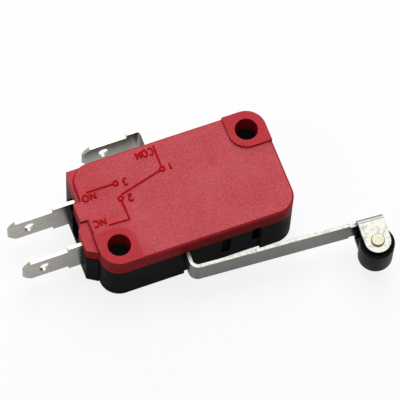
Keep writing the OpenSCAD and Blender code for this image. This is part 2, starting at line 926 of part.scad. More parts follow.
module moving_contact() {
    r = contact_d / 2 - 0.1;
    low = arm_t / 2;
    color("#dcdcd8")
        translate([contact_x, arm_y, mid_z])
            rotate([-90, 0, 0])
                rotate_extrude()
                    polygon([
                        [0, -half_stack], [r - 0.5, -half_stack], [r, 0.35 - half_stack], [r, -low],
                        [rivet_d / 2, -low], [rivet_d / 2, low],
                        [r, low], [r, half_stack - 0.35], [r - 0.5, half_stack], [0, half_stack]
                    ]);
}

// The tension lever pivots at its right end and is pulled by the spring
module tension_lever() {
    back = 0.8;
    strip_l = tension_pivot_x - hook_x;
    color("#b78a4e")
        translate([tension_pivot_x, tension_y, mid_z])
            rotate(tension_tilt)
                difference() {
                    union() {
                        block([-strip_l - hook_hole / 2 - hook_bar, -tension_t / 2, -tension_w / 2],
                              [back, tension_t / 2, tension_w / 2]);
                        translate([0, 0, -arm_w / 2])
                            linear_extrude(arm_w)
                                polygon([
                                    [0, -0.03], [0.35, -tension_t / 2], [back, -tension_t / 2],
                                    [back, tension_t / 2], [0.35, tension_t / 2], [0, 0.03]
                                ]);
                    }
                    translate([-strip_l, 0, 0])
                        rotate([90, 0, 0])
                            cylinder(h = 1, d = hook_hole, center = true);
                }
}

// Route of the spring's wire: a hook, the coil and a second hook
hook_path = [[0.05, -0.45], [0, -0.2], [0, 0.15], [0.05, 0.45], [0.3, 0.72], [0.65, 0.8]];
coil_steps = 16;
function hook_points(from, dir) = [for (p = hook_path) [from + dir * p[0], p[1], 0]];
function reversed(list) = [for (i = [len(list) - 1 : -1 : 0]) list[i]];
coil_points = [
    for (i = [0 : spring_turns * coil_steps])
        let (turn = 360 * i / coil_steps, run = (spring_l - 2 * hook_l) * i / coil_steps / spring_turns)
            [hook_l + run, coil_r * cos(turn), coil_r * sin(turn)]
];
spring_path = concat(hook_points(0, 1), coil_points, reversed(hook_points(spring_l, -1)));

// Sweeps a round wire along a route, keeping each ring square to it
function unit(v) = v / norm(v);
function heading(path, i) = unit(path[min(i + 1, len(path) - 1)] - path[max(i - 1, 0)]);
function squared(v, dir) = unit(v - (v * dir) * dir);
module wire(path, r, sides = 8) {
    count = len(path);
    frames = [
        for (i = 0, u = squared([0, 0, 1], heading(path, 0)); i < count;
             i = i + 1, u = squared(u, heading(path, min(i, count - 1))))
            u
    ];
    points = [
        for (i = [0 : count - 1], k = [0 : sides - 1])
            let (side_dir = cross(heading(path, i), frames[i]), a = 360 * k / sides)
                path[i] + r * (cos(a) * frames[i] + sin(a) * side_dir)
    ];
    skin = [
        for (i = [0 : count - 2], k = [0 : sides - 1])
            let (a = i * sides + k, b = i * sides + (k + 1) % sides)
                [a, a + sides, b + sides, b]
    ];
    start = [for (k = [0 : sides - 1]) k];
    finish = [for (k = [sides - 1 : -1 : 0]) (count - 1) * sides + k];
    polyhedron(points, concat([start], skin, [finish]));
}

module snap_spring() {
    color("#9a9ca0")
        translate([arm_hook_x, arm_y, mid_z])
            rotate(spring_tilt)
                wire(spring_path, wire_d / 2);
}

case();
cover();
plunger();
actuator_lever();
roller();
roller_pin();
nc_terminal();
no_terminal();
com_terminal();
nc_contact();
no_contact();
anchor_bracket();
anchor_rivets();
moving_arm();
moving_contact();
tension_lever();
snap_spring();
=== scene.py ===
# %% [markdown]
# # A snap-action switch with a roller lever
# The switch is an assembly of moulded plastic, sheet metal and small rivets.
# The construction model already holds every piece at its real size, so this
# script loads it as a fixed frame and works on the looks: the finishes, the
# marks moulded into the cover, the roller's round rims, the light and the
# camera.

# %% Load the frame
import math

import bmesh
import bpy
import numpy as np
from mathutils import Matrix, Vector


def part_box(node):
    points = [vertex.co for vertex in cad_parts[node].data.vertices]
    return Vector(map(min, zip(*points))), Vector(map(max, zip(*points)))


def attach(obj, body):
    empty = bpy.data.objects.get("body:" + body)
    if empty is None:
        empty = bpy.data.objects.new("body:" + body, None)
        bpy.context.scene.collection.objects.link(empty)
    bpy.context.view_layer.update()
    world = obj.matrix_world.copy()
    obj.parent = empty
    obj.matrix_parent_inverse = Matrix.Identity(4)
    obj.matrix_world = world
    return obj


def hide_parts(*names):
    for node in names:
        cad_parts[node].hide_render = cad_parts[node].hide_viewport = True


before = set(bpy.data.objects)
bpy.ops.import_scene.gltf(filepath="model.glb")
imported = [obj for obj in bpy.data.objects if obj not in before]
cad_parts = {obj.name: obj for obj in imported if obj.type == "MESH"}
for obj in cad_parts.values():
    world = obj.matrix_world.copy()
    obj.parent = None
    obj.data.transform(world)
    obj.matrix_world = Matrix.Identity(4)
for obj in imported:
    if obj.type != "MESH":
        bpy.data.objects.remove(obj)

MM = 0.001
# The mounting pads stand this far above the cover's large face, in mm
PAD_HEIGHT = 0.4
FACE_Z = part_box("cover")[1][2] / MM - PAD_HEIGHT
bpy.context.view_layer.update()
print("nodes:", ", ".join(sorted(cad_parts)))

# %% [markdown]
# ## The camera
# A small object looks natural through a long lens, because a short one would
# swell whatever is nearest. The camera is placed by two angles and a distance
# round a target point, which is easier to read than a matrix, and a slight
# roll tips the horizon.

# %% Place the camera
AZIMUTH, ELEVATION, ROLL = math.radians(24.01), math.radians(65.72), math.radians(3.80)
DISTANCE = 448.2 * MM
LENS_MM, SENSOR_MM = 294.65, 36
# What is nearer or farther than these, in metres, is not drawn
NEAR, FAR = 0.01, 10
TARGET = Vector((2.372, -0.501, 5.15)) * MM


def camera_axes(azimuth, elevation, roll):
    """Right, up and forward of a camera: forward is turned from +Y by the
    azimuth and dipped by the elevation, and right and up are turned about it
    by the roll."""
    forward = Vector((math.sin(azimuth) * math.cos(elevation),
                      math.cos(azimuth) * math.cos(elevation),
                      -math.sin(elevation)))
    level = forward.cross(Vector((0, 0, 1))).normalized()
    upright = level.cross(forward)
    right = level * math.cos(roll) + upright * math.sin(roll)
    return right, right.cross(forward), forward


right, up, forward = camera_axes(AZIMUTH, ELEVATION, ROLL)
camera_data = bpy.data.cameras.new("studio_camera")
camera_data.lens = LENS_MM
camera_data.sensor_width = SENSOR_MM
camera_data.clip_start, camera_data.clip_end = NEAR, FAR
camera = bpy.data.objects.new("studio_camera", camera_data)
bpy.context.scene.collection.objects.link(camera)
place = TARGET - forward * DISTANCE
camera.matrix_world = Matrix((
    (right.x, up.x, -forward.x, place.x),
    (right.y, up.y, -forward.y, place.y),
    (right.z, up.z, -forward.z, place.z),
    (0, 0, 0, 1),
))
bpy.context.scene.camera = camera
bpy.context.scene.view_settings.view_transform = "Standard"
print("camera at", [round(c, 4) for c in place])

# %% [markdown]
# ## Colour and node helpers
# Colours are picked as the sRGB hex values that a swatch shows, while the
# renderer works in linear light, so one function turns the first into the
# second. A second function adds a node, and every finish is built with it.

# %% Colour and node helpers
# In a colour mix, the factor is input 0, the two colours are inputs 6 and 7,
# and the result is output 2
FACTOR, FIRST, SECOND, MIXED = 0, 6, 7, 2
# Noise lies mostly between these values
NOISE_RANGE = {"From Min": 0.3, "From Max": 0.7}


def linear(hex_colour):
    """Opaque linear colour of an sRGB hex value: a channel up to 0.04045 is
    divided by 12.92, and a brighter one has 0.055 added, is divided by 1.055
    and raised to the power 2.4."""
    channels = np.array([int(hex_colour[i:i + 2], 16) for i in (1, 3, 5)]) / 255
    low, high = channels / 12.92, ((channels + 0.055) / 1.055) ** 2.4
    return (*np.where(channels <= 0.04045, low, high).tolist(), 1.0)


def add(tree, kind, inputs=None, out=0, **settings):
    """Adds a node of a kind and gives it its settings. An input is linked
    where it is given another node's socket, and set to the value otherwise.
    The answer is the output with the place or name asked for, if any."""
    node = tree.nodes.new(kind)
    for name, setting in settings.items():
        setattr(node, name, setting)
    for name, given in (inputs or {}).items():
        if isinstance(given, bpy.types.NodeSocket):
            tree.links.new(given, node.inputs[name])
        else:
            node.inputs[name].default_value = given
    return node.outputs[out] if node.outputs else None


def new_material(name):
    """A material whose node tree is empty, and that tree."""
    material = bpy.data.materials.new(name)
    material.use_nodes = True
    material.node_tree.nodes.clear()
    return material, material.node_tree


def per_metre(size_mm):
    """The scale of a pattern whose features are about size_mm across."""
    return 1 / (size_mm * MM)


def object_point(tree, stretch=(1, 1, 1), turn=0.0):
    """Object coordinates turned about Z and stretched, to place a pattern."""
    point = add(tree, "ShaderNodeTexCoord", out="Object")
    turned = add(tree, "ShaderNodeMapping", {"Vector": point, "Rotation": (0, 0, turn)})
    return add(tree, "ShaderNodeMapping", {"Vector": turned, "Scale": stretch})


def off_axis(tree, axis):
    """0 where the surface's own normal lies along an axis, to either side,
    and 1 where it leaves it: the normal's share in the axis falls from 0.8
    to 0.6 between the two."""
    normal = add(tree, "ShaderNodeTexCoord", out="Normal")
    share = add(tree, "ShaderNodeSeparateXYZ", {"Vector": normal}, out=axis)
    size = add(tree, "ShaderNodeMath", {0: share}, operation="ABSOLUTE")
    return add(tree, "ShaderNodeMapRange", {"Value": size, "From Min": 0.8, "From Max": 0.6})


def finish_surface(material, tree, colour, roughness, height, relief_mm, edge_mm, values):
    """Joins colour, roughness and relief in one shader with softened edges.
    The relief is a height pattern times relief_mm, edge_mm is the radius that
    a deburred or moulded edge shows, and values are the shader's own inputs."""
    edge = add(tree, "ShaderNodeBevel", {"Radius": edge_mm * MM}, samples=4)
    bump = add(tree, "ShaderNodeBump",
               {"Height": height, "Normal": edge, "Strength": 1.0, "Distance": relief_mm * MM})
    body = add(tree, "ShaderNodeBsdfPrincipled",
               {"Base Color": colour, "Roughness": roughness, "Normal": bump, **values})
    add(tree, "ShaderNodeOutputMaterial", {"Surface": body})
    return material


# %% [markdown]
# ## Moulded plastics
# The case, the cover and the roller are injection moulded. A mould that was
# spark eroded leaves a fine frosted grain, so the plastic looks matte and
# slightly cloudy, and a polished spot of the same mould gives a deeper
# colour. An image of the grain could be wrapped round each piece, but noise
# on Object coordinates has no seams. All of the plastics are one recipe: a
# grain in the relief, a cloud in the colour and a rub in the roughness.

# %% Plastics
# Radius of a moulded edge, in mm
MOULD_EDGE = 0.12
# The pattern of the colour is this share of a hardened grain, plus up to CLOUD
# of a cloud CLOUD_MM across
GRAIN_SHARE = 0.66
CLOUD_MM, CLOUD = 4.0, 0.3
# The roughness goes up and down by RUB, in patches RUB_MM across
RUB_MM, RUB = 1.3, 0.05
# Towards the terminals' end the cover's large face is smoother and deeper red,
# in patches this many mm across, where its painted sheen fades out. The sheen
# is gone at the first of these places along the cover, in mm, and full at the second.
SHEEN_FADE_MM = 5.0
SHEEN_GONE_AT, SHEEN_FULL_AT = -14, -5
# Up to the first height above the large face, in mm, the cover counts as that
# face, and from the second height on it counts as a pad
FACE_UP_TO, PAD_FROM = 0.02, 0.08
# The red plastic mirrors very little
RED_SPECULAR = 0.04


def speckled_cloud(tree, point, grain):
    """A share of a hardened grain, plus a faint cloud."""
    cloud = add(tree, "ShaderNodeTexNoise",
                {"Vector": point, "Scale": per_metre(CLOUD_MM), "Detail": 3.0})
    faint = add(tree, "ShaderNodeMapRange",
                {"Value": cloud, **NOISE_RANGE, "To Min": 0.0, "To Max": CLOUD})
    speck = add(tree, "ShaderNodeMapRange", {"Value": grain, "From Min": 0.32, "From Max": 0.68})
    return add(tree, "ShaderNodeMath", {0: speck, 1: GRAIN_SHARE, 2: faint},
               operation="MULTIPLY_ADD")


def moulded_plastic(name, light, dark, roughness, grain_mm, relief_mm, specular, edge_mm=MOULD_EDGE):
    """Matte moulded plastic: the colour runs from dark to light over a cloud
    and a speck of one grain, the grain is the relief, and the roughness
    changes in patches."""
    material, tree = new_material(name)
    point = object_point(tree)
    grain = add(tree, "ShaderNodeTexNoise", {"Vector": point, "Scale": per_metre(grain_mm)})
    colour = add(tree, "ShaderNodeMix",
                 {FACTOR: speckled_cloud(tree, point, grain),
                  FIRST: linear(dark), SECOND: linear(light)}, MIXED, data_type="RGBA")
    rub = add(tree, "ShaderNodeTexNoise", {"Vector": point, "Scale": per_metre(RUB_MM)})
    rough = add(tree, "ShaderNodeMapRange",
                {"Value": rub, **NOISE_RANGE, "To Min": roughness - RUB, "To Max": roughness + RUB})
    return finish_surface(material, tree, colour, rough, grain, relief_mm, edge_mm,
                          {"Specular IOR Level": specular})


def smooth_share(tree, point):
    """Where the cover is smooth: 1 on its upright sides and on the pads,
    which lie higher than the large face, and in patches towards the
    terminals' end, where the painted sheen of the large face fades out. The
    share of the upright sides alone comes second."""
    normal = add(tree, "ShaderNodeTexCoord", out="Normal")
    facing_up = add(tree, "ShaderNodeSeparateXYZ", {"Vector": normal}, out="Z")
    side = add(tree, "ShaderNodeMapRange",
               {"Value": facing_up, "From Min": 0.6, "From Max": 0.9, "To Min": 1, "To Max": 0})
    height = add(tree, "ShaderNodeSeparateXYZ", {"Vector": point}, out="Z")
    pad = add(tree, "ShaderNodeMapRange",
              {"Value": height, "From Min": (FACE_Z + FACE_UP_TO) * MM,
               "From Max": (FACE_Z + PAD_FROM) * MM})
    polished = add(tree, "ShaderNodeMath", {0: side, 1: pad}, operation="MAXIMUM")
    along = add(tree, "ShaderNodeSeparateXYZ", {"Vector": point}, out="X")
    sheen_fade_along = add(tree, "ShaderNodeMapRange",
               {"Value": along, "From Min": SHEEN_GONE_AT * MM, "From Max": SHEEN_FULL_AT * MM,
                "To Min": 1, "To Max": 0})
    patches = add(tree, "ShaderNodeTexNoise", {"Vector": point, "Scale": per_metre(SHEEN_FADE_MM)})
    sheen_fade_patches = add(tree, "ShaderNodeMapRange",
                 {"Value": patches, **NOISE_RANGE, "To Min": 0.15, "To Max": 0.8})
    sheen_faded = add(tree, "ShaderNodeMath", {0: sheen_fade_along, 1: sheen_fade_patches}, operation="MULTIPLY")
    share = add(tree, "ShaderNodeMath", {0: polished, 1: sheen_faded}, operation="MAXIMUM")
    return share, side


def two_finish_red(name, frosted_with_sheen, polished, wall_shade_reds, roughness, grain_mm, relief_mm):
    """The cover's mould leaves a frosting on its large face, and is polished on
    its sides and on the raised pads, and the roughness has a value for each.
    The pale reds of the large face are partly that frosting and partly painted
    sheen, which fades out towards the terminals' end. The upright sides take a
    third, deeper pair of reds, which is painted shade. Each red is a pair of
    colours that the grain and the cloud run between."""
    material, tree = new_material(name)
    point = object_point(tree)
    share, side = smooth_share(tree, point)
    grain = add(tree, "ShaderNodeTexNoise", {"Vector": point, "Scale": per_metre(grain_mm)})
    pattern = speckled_cloud(tree, point, grain)
    face, pad, wall_shade_colour = (
        add(tree, "ShaderNodeMix", {FACTOR: pattern, FIRST: linear(first), SECOND: linear(second)},
            MIXED, data_type="RGBA")
        for first, second in (frosted_with_sheen, polished, wall_shade_reds))
    top = add(tree, "ShaderNodeMix", {FACTOR: share, FIRST: face, SECOND: pad}, MIXED,
              data_type="RGBA")
    # The upright sides take the third pair of reds, which is painted shade
    colour = add(tree, "ShaderNodeMix", {FACTOR: side, FIRST: top, SECOND: wall_shade_colour}, MIXED,
                 data_type="RGBA")
    rough = add(tree, "ShaderNodeMapRange",
                {"Value": share, "To Min": roughness[0], "To Max": roughness[1]})
    flatter = add(tree, "ShaderNodeMapRange", {"Value": share, "To Min": 1.0, "To Max": 0.3})
    relief = add(tree, "ShaderNodeMath", {0: grain, 1: flatter}, operation="MULTIPLY")
    return finish_surface(material, tree, colour, rough, relief, relief_mm, MOULD_EDGE,
                          {"Specular IOR Level": RED_SPECULAR})


# Glass-filled polyester: a chalky red where the mould was spark eroded,
# whose paleness there is partly painted sheen
RED_POLYESTER = two_finish_red(
    "red_polyester_moulded", frosted_with_sheen=("#b73f48", "#cd6067"), polished=("#b12f37", "#c34047"),
    # The third pair of reds is painted shade on the cover's upright sides
    wall_shade_reds=("#9c0c14", "#ac141c"), roughness=(0.62, 0.5), grain_mm=0.24, relief_mm=0.05)
# Marks cut into a polished part of the same mould: deeper and smoother
RED_POLISHED = moulded_plastic(
    "red_polyester_polished", "#c21620", "#ae0e17",
    roughness=0.5, grain_mm=0.28, relief_mm=0.004, specular=RED_SPECULAR)
# Phenolic moulding compound: near-black with a satin skin
BLACK_PHENOLIC = moulded_plastic(
    "black_phenolic_satin", "#111112", "#0a0a0b",
    roughness=0.42, grain_mm=0.26, relief_mm=0.015, specular=0.012)
# Acetal, which slides in the phenolic wall: plain black with little sheen,
# made darker than the case as painted shade in its slot
SHADED_BLACK_ACETAL = moulded_plastic(
    "black_acetal_smooth", "#080808", "#050505",
    roughness=0.5, grain_mm=0.3, relief_mm=0.006, specular=0.005)
# Nylon roller, smooth from turning against cams
BLACK_NYLON = moulded_plastic(
    "black_nylon_polished", "#161618", "#0e0e0f",
    roughness=0.35, grain_mm=0.35, relief_mm=0.006, specular=0.04, edge_mm=0.2)
plastics = (RED_POLYESTER, RED_POLISHED, BLACK_PHENOLIC, SHADED_BLACK_ACETAL, BLACK_NYLON)
print("plastics:", ", ".join(material.name for material in plastics))

# %% [markdown]
# ## Sheet metals
# Strip is rolled, so its surface has fine lines along its length. Cut into
# the mesh they would need far too many faces, and a stretched noise pattern
# shows them as well. Plating softens the lines and adds small bright and dull
# specks. Metals have no colour below the surface, so the metallic value is 1
# and the colour is that of the reflection.

# %% Metals
# Radius of a deburred edge, in mm
STRIP_EDGE = 0.06
# A rolling line is this many times as long as it is wide
LINE_STRETCH = 30
# How far the roughness falls or rises in the specks, and rises where sheared
SMOOTHER, DULLER, SHEARED = 0.03, 0.04, 0.15
# A sheared edge is torn in patches this long, in mm
TORN_MM = 0.5


def torn_edge_and_shade(tree, point, face, edge_and_shade_colour, light):
    """How far a surface takes the edge colour, in patches, and its colour
    there, which runs from the edge colour to the light one. On strip that is
    a shorn edge, and on the pin it is painted shade on its sides."""
    patches = add(tree, "ShaderNodeTexNoise", {"Vector": point, "Scale": per_metre(TORN_MM)})
    uneven = add(tree, "ShaderNodeMapRange",
                 {"Value": patches, **NOISE_RANGE, "To Min": 0.2, "To Max": 1})
    edge_and_shade_mask = add(tree, "ShaderNodeMath", {0: off_axis(tree, face), 1: uneven},
                  operation="MULTIPLY")
    torn = add(tree, "ShaderNodeMapRange", {"Value": patches, "From Min": 0.35, "From Max": 0.65})
    colour = add(tree, "ShaderNodeMix", {FACTOR: torn, FIRST: linear(edge_and_shade_colour), SECOND: linear(light)},
                 MIXED, data_type="RGBA")
    return edge_and_shade_mask, colour


def rolled_metal(name, light, dark, roughness, line_mm, speck_mm, relief_mm,
                 turn=0.0, edge_and_shade_colour=None, face="Y"):
    """Rolled strip: long lines blend with round specks in the colour, the
    specks change the roughness, and the lines are the relief. An edge colour
    covers, in patches, the faces whose normal leaves the axis that the strip
    faces, and those faces are rougher. On strip these are the shorn edges, and
    on the pin that colour is painted shade on its sides."""
    material, tree = new_material(name)
    along = object_point(tree, (1 / LINE_STRETCH, 1, 1), turn)
    point = object_point(tree)
    lines = add(tree, "ShaderNodeTexNoise", {"Vector": along, "Scale": per_metre(line_mm)})
    specks = add(tree, "ShaderNodeTexNoise",
                 {"Vector": point, "Scale": per_metre(speck_mm), "Detail": 3.0})
    both = add(tree, "ShaderNodeMath", {0: lines, 1: specks}, operation="ADD")
    pattern = add(tree, "ShaderNodeMapRange", {"Value": both, "From Min": 0.75, "From Max": 1.25})
    colour = add(tree, "ShaderNodeMix",
                 {FACTOR: pattern, FIRST: linear(dark), SECOND: linear(light)}, MIXED,
                 data_type="RGBA")
    rough = add(tree, "ShaderNodeMapRange",
                {"Value": specks, **NOISE_RANGE,
                 "To Min": roughness - SMOOTHER, "To Max": roughness + DULLER})
    if edge_and_shade_colour:
        edge_and_shade_mask, torn_and_shade_colour = torn_edge_and_shade(tree, point, face, edge_and_shade_colour, light)
        colour = add(tree, "ShaderNodeMix", {FACTOR: edge_and_shade_mask, FIRST: colour, SECOND: torn_and_shade_colour},
                     MIXED, data_type="RGBA")
        rough = add(tree, "ShaderNodeMapRange",
                    {"Value": edge_and_shade_mask, "To Min": roughness, "To Max": roughness + SHEARED})
    return finish_surface(material, tree, colour, rough, lines, relief_mm, STRIP_EDGE,
                          {"Metallic": 1.0})


# Cold-rolled stainless strip: plain grey, with faint streaks along the tilted
# lever
LEVER_TILT = math.radians(3.5)
LEVER_STEEL = rolled_metal(
    "stainless_strip_rolled", "#747472", "#676765",
    roughness=0.22, line_mm=0.12, speck_mm=0.6, relief_mm=0.0006, turn=LEVER_TILT, edge_and_shade_colour="#a39e92")
# Tinned brass strip: soft and bright, with bare brass where it was sheared
TIN_PLATE = rolled_metal(
    "tinned_brass_strip", "#b4b2ab", "#a5a29b",
    roughness=0.24, line_mm=0.12, speck_mm=0.5, relief_mm=0.0004, edge_and_shade_colour="#a07a3c")
# Upset pin: turned steel, nickel plated, with a near-black edge colour that
# is painted shade on its sides, below the rim of its head
NICKEL_PIN = rolled_metal(
    "nickel_plated_steel", "#858171", "#797566",
    roughness=0.28, line_mm=0.2, speck_mm=0.3, relief_mm=0.001, edge_and_shade_colour="#1c1b1a", face="Z")
# Silver alloy contacts, pressed: the palest metal of all
SILVER_ALLOY = rolled_metal(
    "silver_alloy_pressed", "#e6e4df", "#cfccc4",
    roughness=0.28, line_mm=0.2, speck_mm=0.3, relief_mm=0.003)
# Phosphor bronze strip, which stays springy: a coppery brown
PHOSPHOR_BRONZE = rolled_metal(
    "phosphor_bronze_strip", "#c9925e", "#a8713f",
    roughness=0.32, line_mm=0.12, speck_mm=0.4, relief_mm=0.003)
# Stamped brass of the bracket and the rivets: yellow
BRASS = rolled_metal(
    "brass_stamped", "#cfae6a", "#b08d4a",
    roughness=0.3, line_mm=0.15, speck_mm=0.4, relief_mm=0.003)
# Drawn music wire: a cool grey with very fine lines
MUSIC_WIRE = rolled_metal(
    "music_wire_drawn", "#a5a5a8", "#85858a",
    roughness=0.3, line_mm=0.08, speck_mm=0.2, relief_mm=0.002)
metals = (LEVER_STEEL, TIN_PLATE, NICKEL_PIN, SILVER_ALLOY, PHOSPHOR_BRONZE, BRASS, MUSIC_WIRE)
print("metals:", ", ".join(material.name for material in metals))

# %% [markdown]
# ## Finishes on the pieces
# Each piece of the switch is made of one material. The finishes could be
# handed out piece by piece. A table of pieces and finishes is shorter, and
# reads like the parts list that a maker keeps.

# %% Finishes on the pieces
NODE_FINISH = {
    "case": BLACK_PHENOLIC, "cover": RED_POLYESTER, "plunger": SHADED_BLACK_ACETAL,
    "actuator_lever": LEVER_STEEL, "roller": BLACK_NYLON, "roller_pin": NICKEL_PIN,
    "nc_terminal": TIN_PLATE, "no_terminal": TIN_PLATE, "com_terminal": TIN_PLATE,
    "nc_contact": SILVER_ALLOY, "no_contact": SILVER_ALLOY, "moving_contact": SILVER_ALLOY,
    "anchor_bracket": BRASS, "anchor_rivets": BRASS,
    "moving_arm": PHOSPHOR_BRONZE, "tension_lever": PHOSPHOR_BRONZE,
    "snap_spring": MUSIC_WIRE,
}
for node, finish in NODE_FINISH.items():
    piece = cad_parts[node]
    if not piece.data.materials:
        piece.data.materials.append(finish)
    for held in piece.material_slots:
        held.material = finish
print("finishes on", len(NODE_FINISH), "nodes")

# %% [markdown]
# ## Raised lines
# The marks on the cover are cut into its mould with a round tool, so they
# stand up as rounded lines. A raised line could be a bevelled curve, but a
# surface worked out here needs no conversion: it is a flat tube whose width
# falls to nothing at its ends.

# %% Raised lines
# Half the width of a line and its height, and the radius of a ring, in mm
LINE_HALF, LINE_HEIGHT = 0.15, 0.2
RING = 0.32
TUBE_SIDES = 12
# Points closer than this, in metres, are one
WELD = 1e-7


def grid_mesh(name, grid, close_rows, finish, **place):
    """A mesh from one or more grids of points in millimetres: each cell is a
    face, the columns always join into a ring, and the rows do if close_rows
    is true."""
    index = np.arange(grid[..., 0].size).reshape(grid.shape[:-1])
    below = np.roll(index, -1, axis=-2)
    if not close_rows:
        index, below = index[..., :-1, :], below[..., :-1, :]
    quads = np.stack([index, below, np.roll(below, -1, axis=-1), np.roll(index, -1, axis=-1)],
                     axis=-1)
    mesh = bpy.data.meshes.new(name)
    mesh.from_pydata((grid.reshape(-1, 3) * MM).tolist(), [], quads.reshape(-1, 4).tolist())
    return add_piece(name, mesh, finish, **place)


def add_piece(name, mesh, finish, body="body", slot="cover_plastic"):
    """Welds a mesh, turns its faces outwards, shades it smooth and lets it
    ride on a body."""
    work = bmesh.new()
    work.from_mesh(mesh)
    bmesh.ops.remove_doubles(work, verts=work.verts, dist=WELD)
    bmesh.ops.dissolve_degenerate(work, edges=work.edges, dist=WELD / 10)
    bmesh.ops.recalc_face_normals(work, faces=work.faces)
    work.to_mesh(mesh)
    work.free()
    mesh.polygons.foreach_set("use_smooth", [True] * len(mesh.polygons))
    mesh.materials.append(finish)
    piece = bpy.data.objects.new(name, mesh)
    bpy.context.scene.collection.objects.link(piece)
    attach(piece, body)
    print(name, "has", len(mesh.polygons), "faces")
    return piece


def straight(start, end, steps=25):
    """Points from start to end, closer together towards both ends: the share
    of the way is (1 - cos a) / 2, for a from 0 to half a turn."""
    share = (1 - np.cos(np.linspace(0, math.pi, steps)))[:, None] / 2
    return np.array(start) * (1 - share) + np.array(end) * share


def arc(centre, radii, start, end):
    """Points on an ellipse between two angles in degrees: the cosine times
    the first radius, and the sine times the second."""
    angle = np.radians(straight((start,), (end,)))
    return np.array(centre) + np.array(radii) * np.hstack([np.cos(angle), np.sin(angle)])


def raised_paths(name, paths, half, height):
    """Flat tubes along paths of points. At a distance d from the nearer end,
    half and height are multiplied by the root of 1 - (1 - d / half)^2, and
    by 1 once d reaches half, so both ends are round."""
    heading = np.gradient(paths, axis=-2)
    heading /= np.linalg.norm(heading, axis=-1, keepdims=True)
    side = np.stack([-heading[..., 1], heading[..., 0]], axis=-1)
    step = np.linalg.norm(np.diff(paths, axis=-2), axis=-1)
    along = np.concatenate([np.zeros_like(step[..., :1]), np.cumsum(step, axis=-1)], axis=-1)
    inset = np.clip(np.minimum(along, along[..., -1:] - along) / half, 0, 1)
    swell = np.sqrt(np.clip(1 - (1 - inset) ** 2, 0, 1))[..., None]
    angle = np.linspace(0, 2 * math.pi, TUBE_SIDES, endpoint=False)
    flat = paths[..., None, :] + (swell * np.cos(angle) * half)[..., None] * side[..., None, :]
    rise = FACE_Z + swell * np.sin(angle) * height
    return grid_mesh(name, np.concatenate([flat, rise[..., None]], axis=-1), False, RED_POLISHED)


def raised_line(name, start, end):
    """One straight raised line of the symbol."""
    return raised_paths(name, straight(start, end), LINE_HALF, LINE_HEIGHT)


def raised_ring(name, centre, radius, steps=32):
    """A flat torus: the tube's section is an ellipse of the line's half-width
    and height."""
    turn = np.linspace(0, 2 * math.pi, steps, endpoint=False)[:, None]
    angle = np.linspace(0, 2 * math.pi, TUBE_SIDES, endpoint=False)
    reach = radius + LINE_HALF * np.cos(angle)
    grid = np.stack([centre[0] + reach * np.cos(turn), centre[1] + reach * np.sin(turn),
                     FACE_Z + LINE_HEIGHT * np.sin(angle) + 0 * turn], axis=-1)
    return grid_mesh(name, grid, True, RED_POLISHED)


# %% [markdown]
# ## The circuit symbol
# The symbol tells an electrician which terminal is which: the common lead
# ends at contact 1, the blade rests on contact 2, and contact 3 is open. Each
# contact is a ring, and the lines could run on to its middle. They stop at
# its rim instead, so that the ring stays open.

# %% The circuit symbol


def beside(place, across, up):
    """A place that far from another, in mm."""
    return place[0] + across, place[1] + up


# The middles of the contacts' rings on the cover, in mm
CONTACTS = ((-1.7, 3.65), (-8.5, 1.4), (-8.4, 3.75))
COMMON, CLOSED, OPEN = CONTACTS
for number, contact in enumerate(CONTACTS, 1):
    raised_ring(f"mark_ring_{number}", contact, RING)
raised_line("mark_common_lead", (-1.66, 7.45), beside(COMMON, 0, RING))
raised_line("mark_blade", beside(COMMON, -RING, -0.1), beside(CLOSED, 0.2, 0.5))
raised_line("mark_closed_drop", beside(CLOSED, 0, -RING), (-8.4, -1.95))
raised_line("mark_closed_lead", (-8.4, -1.9), (-11.4, -1.75))
raised_line("mark_open_lead", beside(OPEN, -RING, 0), (-12.7, 3.8))

# %% [markdown]
# ## Raised letters
# Each terminal is named by its function. The letters stand the other way up
# from the lever side, as the mould has them. They are cut with a round tool,
# so each one is a few strokes of one width. A font's outline would give it
# flat tops and sharp corners.

# %% Letters
# Each letter's width and strokes, where a capital is 1 high, and the gap
# between two letters
STROKES = {
    "C": (0.76, [arc((0.42, 0.5), (0.42, 0.5), 42, 318)]),
    "O": (0.86, [arc((0.43, 0.5), (0.43, 0.5), 0, 385)]),
    "M": (0.84, [straight((0, 0), (0, 1)), straight((0, 1), (0.42, 0.2)),
                 straight((0.42, 0.2), (0.84, 1)), straight((0.84, 1), (0.84, 0))]),
    "N": (0.7, [straight((0, 0), (0, 1)), straight((0, 1), (0.7, 0)),
                straight((0.7, 0), (0.7, 1))]),
    "1": (0.2, [straight((0.2, 0), (0.2, 1)), straight((0, 0.78), (0.2, 1))]),
    "2": (0.6, [arc((0.3, 0.7), (0.3, 0.3), 165, -40), straight((0.53, 0.51), (0, 0)),
                straight((0, 0), (0.6, 0))]),
    "3": (0.6, [arc((0.29, 0.76), (0.26, 0.24), 155, -90),
                arc((0.29, 0.27), (0.31, 0.27), 90, -155)]),
}
LETTER_GAP = 0.34
# Half a stroke's width, its height and that of a capital, in mm
STROKE_HALF, STROKE_HEIGHT = 0.14, 0.2
CAPITAL = 0.95


def raised_word(name, word, centre, height, narrowing=1.0):
    """A word on the cover, centred on the place and turned half round. Its
    height is that of a capital, between the middles of the strokes, and its
    width is multiplied by the narrowing."""
    paths, reach = [], 0.0
    for letter in word:
        width, strokes = STROKES[letter]
        paths += [stroke + (reach, 0) for stroke in strokes]
        reach += width + LETTER_GAP
    middle = ((reach - LETTER_GAP) / 2, 0.5)
    placed = np.array(centre) - (np.array(paths) - middle) * (height * narrowing, height)
    return raised_paths(name, placed, STROKE_HALF, STROKE_HEIGHT)


